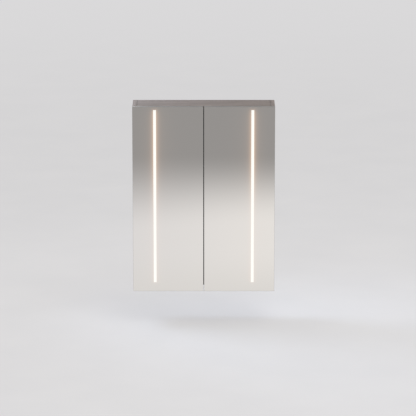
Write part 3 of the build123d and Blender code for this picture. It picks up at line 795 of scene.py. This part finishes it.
INNER_MIRROR = SilveredMirror("silvered_inner_mirror")
OPAL = OpalLight("lit_opal")


@dataclass
class SubAssembly:
    """Pieces of the cabinet that belong together."""

    nodes: dict[str, bpy.types.Object]

    def finishes(self) -> dict[str, Finish]:
        """The finish of each of the assembly's nodes, by name."""
        raise NotImplementedError

    def dress(self) -> None:
        """Gives each node of the assembly its finish."""
        for name, finish in self.finishes().items():
            finish.coat(self.nodes[name])
            LOG.info("%s is %s", name, finish.name)

    def build(self) -> None:
        """Adds the assembly's own pieces, where it has any beside its nodes."""

    def add(
        self, name: str, form: bmesh.types.BMesh, finish: Finish, body: str, slot: str
    ) -> None:
        """Adds a piece of a given form.

        Args:
            name: the piece's name.
            form: the piece's mesh, which is used up.
            finish: what it is made of.
            body: the body that it moves with.
            slot: not used.
        """
        bmesh.ops.recalc_face_normals(form, faces=form.faces)
        piece = formed(name, form)
        finish.coat(piece)
        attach(piece, body)
        LOG.info("%s is %s", name, finish.name)


@dataclass
class Case(SubAssembly):
    """The boards of the case and what joins them."""

    def finishes(self) -> dict[str, Finish]:
        """The finish of each of the case's boards.

        Returns:
            The finishes by the nodes' names.
        """
        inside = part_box("right_side_panel")[0].x
        cross_board = GrainedBoard("taupe_cross_board", WOOD_TONE, Axis.ACROSS, joint_at=inside)
        return {
            "left_side_panel": SIDE_BOARD,
            "right_side_panel": SIDE_BOARD,
            "top_panel": cross_board,
            "bottom_panel": cross_board,
            "back_panel": BACK_BOARD,
            "case_dowels": BEECH,
        }


@dataclass
class Hanging(SubAssembly):
    """The wall rail and the two hangers that hook over it."""

    def finishes(self) -> dict[str, Finish]:
        """The finish of each piece of the hanging.

        Returns:
            The finishes by the nodes' names.
        """
        found: dict[str, Finish] = {
            "wall_rail": ZINC,
            "hanger_adjusters": SCREW_STEEL,
            "hanger_screws": SCREW_STEEL,
        }
        for side in Side:
            found[f"{side.value}_hanger_body"] = GREY_PLASTIC
            found[f"{side.value}_hanger_hook"] = ZINC
        return found


@dataclass
class Shelving(SubAssembly):
    """The glass shelves, their pegs and the soft pads between the two."""

    pad_sink: float = 0.00002
    pad_rise: float = 0.00015
    level_within: float = 0.0001

    def finishes(self) -> dict[str, Finish]:
        """The finish of the shelves and pegs."""
        return {"upper_shelf": SHELF_GLASS, "lower_shelf": SHELF_GLASS, "shelf_pegs": NICKEL}

    def build(self) -> None:
        """Adds the clear pads on the pegs' flat tops, which press into the glass a little."""
        form = bmesh.new()
        form.from_mesh(self.nodes["shelf_pegs"].data)
        others = [face for face in form.faces if not self.carries(face)]
        bmesh.ops.delete(form, geom=others, context="FACES")
        bmesh.ops.translate(form, verts=form.verts, vec=(0, 0, -self.pad_sink))
        grown = bmesh.ops.extrude_face_region(form, geom=form.faces[:], use_keep_orig=True)
        raised = [item for item in grown["geom"] if isinstance(item, bmesh.types.BMVert)]
        bmesh.ops.translate(form, verts=raised, vec=(0, 0, self.pad_sink + self.pad_rise))
        self.add("shelf_pads", form, CLEAR_RUBBER, "case", "clear_rubber")

    def carries(self, face: bmesh.types.BMFace) -> bool:
        """Whether a face of the pegs is a flat top that carries a shelf.

        Args:
            face: the face.

        Returns:
            True where it looks up and is level with the underside of a shelf.
        """
        undersides = [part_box(shelf)[0].z for shelf in ("upper_shelf", "lower_shelf")]
        height = face.calc_center_median().z
        level = any(abs(height - underside) < self.level_within for underside in undersides)
        return level and face.normal.z > SQUARE_ON


@dataclass
class Electrics(SubAssembly):
    """The power housing, what is in it, and the light switch."""

    mark_line: float = 0.0005
    mark_height: float = 0.0022
    on_mark_rise: float = 0.0025
    off_mark_drop: float = 0.00095
    mark_proud: float = 0.00012
    mark_root: float = 0.0003
    mark_steps: int = 32

    def finishes(self) -> dict[str, Finish]:
        """The finish of each piece of the electrics.

        Returns:
            The finishes by the nodes' names.
        """
        return {
            "power_housing": GREY_PLASTIC,
            "housing_screws": SCREW_STEEL,
            "led_driver": WHITE_PLASTIC,
            "terminal_block": CREAM_PLASTIC,
            "switch_body": BLACK_PLASTIC,
            "switch_rocker": BLACK_PLASTIC,
            "mains_grommet": BLACK_RUBBER,
        }

    def build(self) -> None:
        """Adds the rocker's on and off marks: a bar on its upper half and a ring on its lower."""
        low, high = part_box("switch_rocker")
        middle = (low + high) / 2
        half_line = self.mark_line / 2
        bar, ring = [], []
        hub = Vector((middle.x, 0, middle.z - self.off_mark_drop))
        radii = (self.mark_height / 2 - self.mark_line, self.mark_height / 2)
        for step in range(self.mark_steps):
            along = step / (self.mark_steps - 1) - 0.5
            height = middle.z + self.on_mark_rise + along * self.mark_height
            bar.append([Vector((middle.x + way * half_line, 0, height)) for way in (-1, 1)])
            angle = 2 * math.pi * step / self.mark_steps
            spoke = Vector((math.cos(angle), 0, math.sin(angle)))
            ring.append([hub + spoke * radius for radius in radii])
        self.add_mark("rocker_on_mark", bar, closed=False)
        self.add_mark("rocker_off_mark", ring, closed=True)

    def add_mark(self, name: str, pairs: list[list[Vector]], closed: bool) -> None:
        """Adds a raised mark that lies on the rocker's face.

        Args:
            name: the piece's name.
            pairs: the points at the two sides of the mark's line, in their order along it.
            closed: whether the line ends where it starts.
        """
        rocker = self.nodes["switch_rocker"].data
        corners = [vertex.co for vertex in rocker.vertices]
        face = BVHTree.FromPolygons(corners, [polygon.vertices for polygon in rocker.polygons])
        inward = Vector((0, 1, 0))
        form = bmesh.new()
        sections = []
        for pair in pairs:
            seats = [face.ray_cast(point - inward, inward)[0] for point in pair]
            places = [seat - inward * self.mark_proud for seat in seats]
            places += [seat + inward * self.mark_root for seat in reversed(seats)]
            sections.append([form.verts.new(place) for place in places])
        followers = sections[1:] + sections[:1] if closed else sections[1:]
        for here, there in zip(sections, followers):
            for corner in range(len(here)):
                after = (corner + 1) % len(here)
                form.faces.new((here[corner], here[after], there[after], there[corner]))
        if not closed:
            form.faces.new(sections[0])
            form.faces.new(sections[-1])
        self.add(name, form, MARK_WHITE, "switch_rocker", "switch_plastic")


@dataclass
class Hinges(SubAssembly):
    """The halves of the hinges that stay on the case."""

    def finishes(self) -> dict[str, Finish]:
        """The finish of the arms, plates and screws.

        Returns:
            The finishes by the nodes' names.
        """
        found: dict[str, Finish] = {
            "hinge_plate_screws": SCREW_STEEL,
            "hinge_arm_screws": SCREW_STEEL,
        }
        for side in Side:
            found[f"{side.value}_hinge_plates"] = NICKEL
            for level in Level:
                found[f"{side.value}_{level.value}_hinge_arm"] = NICKEL
        return found


@dataclass
class Door(SubAssembly):
    """A mirror door with its light and its halves of the hinges."""

    side: Side
    chip_share: float = 0.3

    def finishes(self) -> dict[str, Finish]:
        """The finish of each of the door's pieces.

        Returns:
            The finishes by the nodes' names.
        """
        side = self.side.value
        tape_front, tape_back = (corner.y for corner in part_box(f"{side}_led_board"))
        chips_back = tape_front + self.chip_share * (tape_back - tape_front)
        ends: dict[str, Finish] = {
            "front_mirror": SilveredMirror(f"silvered_{side}_mirror", self.glow()),
            "inner_mirror": INNER_MIRROR,
            "door_core": DOOR_BOARD,
            "light_channel": ALUMINIUM,
            "led_board": LedTape(f"{side}_led_tape", chips_back),
            "light_diffuser": OPAL,
            "lead_grommet": BLACK_RUBBER,
            "door_bumpers": CLEAR_RUBBER,
            "hinge_pins": SCREW_STEEL,
            "cup_screws": SCREW_STEEL,
        }
        for level in Level:
            ends[f"{level.value}_hinge_cup"] = NICKEL
        return {f"{side}_{end}": finish for end, finish in ends.items()}

    def glow(self) -> LightGlow:
        """The painted glow round the part of the light that shows in the mirror's window.

        Returns:
            The glow, with the window's corners.
        """
        low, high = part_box(f"{self.side.value}_light_diffuser")
        mirror = self.nodes[f"{self.side.value}_front_mirror"].data
        window = [vertex.co.x for vertex in mirror.vertices if low.x < vertex.co.x < high.x]
        lip = (high.x - low.x - (max(window) - min(window))) / 2
        inset = Vector((lip, 0, lip))
        return LightGlow(low + inset, high - inset)


@dataclass(frozen=True)
class Lamp:
    """A square soft light that looks at the cabinet."""

    name: str
    place: Vector
    power: float
    size: float
    colour: Colour = (1.0, 1.0, 1.0)
    spread: float = math.pi
    mirrored: bool = True

    def build(self, aim: Vector) -> None:
        """Makes the light.

        Args:
            aim: the point that it looks at.
        """
        data = bpy.data.lights.new(self.name, "AREA")
        data.energy = self.power
        data.size = self.size
        data.color = self.colour
        data.spread = self.spread
        lamp = placed(self.name, data)
        lamp.location = self.place
        lamp.rotation_euler = (aim - self.place).to_track_quat("-Z", "Y").to_euler()
        lamp.visible_camera = False
        lamp.visible_glossy = self.mirrored


@dataclass
class Studio:
    """The floor, lights and camera round the cabinet."""

    low: Vector
    high: Vector

    # The floor as the camera sees it: far away it gives way to the backdrop.
    floor_drop: float = 0.146
    floor_half: float = 120.0
    floor_tone: Colour = screen(231, 229, 229)
    backdrop: Colour = screen(218, 217, 218)
    backdrop_least: float = 0.5
    backdrop_start: float = 2.5
    backdrop_end: float = 9.0

    # The floor as the mirrors see it: its painted light and shade, and how far from the cabinet
    # they change.
    left_shine: Colour = screen(223, 220, 219)
    right_shine: Colour = screen(234, 230, 226)
    close_shine: Colour = screen(219, 216, 212)
    far_shine: Colour = screen(152, 149, 147)
    wall_shine: Colour = screen(186, 183, 181)
    shine_half: float = 0.5
    close_start: float = 0.25
    close_end: float = 1.5
    shade_start: float = 1.85
    shade_end: float = 3.6
    shade_lean: float = 0.3
    shade_side: float = 0.45
    shade_draw: float = 3.8
    lift_start: float = 5.0
    lift_end: float = 18.0
    wall_rise: float = 0.2

    ambient: Colour = (0.8, 0.8, 0.8)
    key: Lamp = Lamp("key_light", Vector((1.1, -2.2, 2.9)), 44.0, 2.4)
    fill: Lamp = Lamp(
        "fill_light",
        Vector((-1.0, 0.3, 0.5)),
        2.6,
        0.8,
        (0.64, 0.77, 1.0),
        spread=math.radians(60),
        mirrored=False,
    )
    rim: Lamp = Lamp("rim_light", Vector((-0.64, 1.0, 0.36)), 2.1, 0.8, (1.0, 0.96, 0.95))

    camera_distance: float = 12.0
    camera_pitch: float = math.radians(13.4)
    camera_lens: float = 244.1
    camera_reach: float = 480.0
    aim_right: float = 0.0182
    aim_up: float = -0.0526

    def middle(self) -> Vector:
        """The middle of the cabinet."""
        return (self.low + self.high) / 2

    def build(self) -> None:
        """Makes the floor, the lights and the camera."""
        self.build_floor()
        self.build_world()
        for lamp in (self.key, self.fill, self.rim):
            lamp.build(self.middle())
        self.build_camera()

    def build_floor(self) -> None:
        """Makes the pale floor, on which the mirrors see painted shade in front of the cabinet."""
        form = bmesh.new()
        bmesh.ops.create_grid(form, x_segments=1, y_segments=1, size=self.floor_half)
        floor = formed("floor", form)
        floor.location.z = self.low.z - self.floor_drop
        floor.data.materials.append(self.floor_material())
        floor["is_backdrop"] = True

    def floor_material(self) -> bpy.types.Material:
        """The floor's material.

        Returns:
            The material, which glossy surfaces see otherwise than the camera does.
        """
        material = bpy.data.materials.new("floor")
        material.use_nodes = True
        graph = Graph(material.node_tree)
        place = graph.place()
        mottle = graph.noise(place, scale=3, detail=3)
        tone = graph.blend(mottle, self.floor_tone, self.backdrop)
        lit = graph.plain("ShaderNodeBsdfDiffuse", tone)
        beyond = graph.plain("ShaderNodeEmission", self.backdrop)
        distance = graph.length(place)
        away = graph.ease(
            distance, self.backdrop_start, self.backdrop_end, low=self.backdrop_least
        )
        seen = graph.mix(away, lit, beyond)
        shine = graph.plain("ShaderNodeEmission", self.floor_shine(graph, place))
        glossy = graph.node("ShaderNodeLightPath").outputs["Is Glossy Ray"]
        graph.finish(graph.mix(glossy, seen, shine))
        return material

    def floor_shine(self, graph: Graph, place: Socket) -> Socket:
        """The floor's painted light and shade as the mirrors see it, brighter on the right.

        It falls into shade in front of the cabinet. The shade comes closer out to the sides, and
        far away it gives way to the room's wall.

        Args:
            graph: the tree to add to.
            place: the place on the floor.

        Returns:
            The socket that holds the tone.
        """
        across = graph.part(place, Axis.ACROSS)
        front = graph.math("MULTIPLY", graph.part(place, Axis.INWARD), -1.0)
        rightward = graph.ease(across, -self.shine_half, self.shine_half)
        lit = graph.blend(rightward, self.left_shine, self.right_shine)
        # Painted shade close to the cabinet.
        clear = graph.ease(front, self.close_start, self.close_end)
        lit = graph.blend(clear, self.close_shine, lit)
        lean = graph.ease(front, self.shade_start, self.shade_end, low=-self.shade_lean, high=0.0)
        aside = graph.math("SUBTRACT", graph.math("ABSOLUTE", across), self.shade_side)
        beside = graph.math("MAXIMUM", aside, 0.0)
        leaning = graph.scaled(across, by=lean, plus=front)
        reach = graph.scaled(beside, by=self.shade_draw, plus=leaning)
        lift = graph.ease(graph.length(place), self.lift_start, self.lift_end)
        far = graph.blend(lift, self.far_shine, self.wall_shine)
        return graph.blend(graph.ease(reach, self.shade_start, self.shade_end), lit, far)

    def build_world(self) -> None:
        """Makes the even light from all round, and what shows beyond the floor."""
        world = bpy.data.worlds.new("studio")
        world.use_nodes = True
        bpy.context.scene.world = world
        graph = Graph(world.node_tree)
        path = graph.node("ShaderNodeLightPath").outputs
        light = graph.plain("ShaderNodeBackground", self.ambient)
        seen = graph.plain("ShaderNodeBackground", self.backdrop)
        upward = graph.part(graph.node("ShaderNodeTexCoord").outputs["Generated"], Axis.UPRIGHT)
        rise = graph.ease(upward, 0.0, self.wall_rise)
        wall = graph.blend(rise, self.wall_shine, self.far_shine)
        shine = graph.plain("ShaderNodeBackground", wall)
        looked_at = graph.math("MAXIMUM", path["Is Camera Ray"], path["Is Transmission Ray"])
        shown = graph.mix(looked_at, light, seen)
        graph.finish(graph.mix(path["Is Glossy Ray"], shown, shine), "ShaderNodeOutputWorld")

    def build_camera(self) -> None:
        """Makes the camera, level across and looking down at the doors."""
        data = bpy.data.cameras.new("camera")
        data.lens = self.camera_lens
        data.clip_end = self.camera_reach
        turn = Matrix.Rotation(math.pi / 2 - self.camera_pitch, 4, "X")
        eye = Vector((self.aim_right, self.aim_up, self.camera_distance))
        camera = placed("camera", data)
        camera.matrix_world = Matrix.Translation(self.middle() + turn @ eye) @ turn
        bpy.context.scene.camera = camera


def main() -> None:
    """Loads the cabinet, dresses it, and sets up the studio."""
    logging.basicConfig(level=logging.INFO, format="%(message)s")
    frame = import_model()
    cad_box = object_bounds()
    nodes = frame["nodes"]
    kinds = (Case, Hanging, Shelving, Electrics, Hinges)
    assemblies: list[SubAssembly] = [kind(nodes) for kind in kinds]
    assemblies += [Door(nodes, side) for side in Side]
    for assembly in assemblies:
        assembly.build()
        assembly.dress()
    Studio(*(Vector(corner) for corner in cad_box)).build()
    bpy.context.scene.view_settings.view_transform = "Standard"


if __name__ == "__main__":
    main()
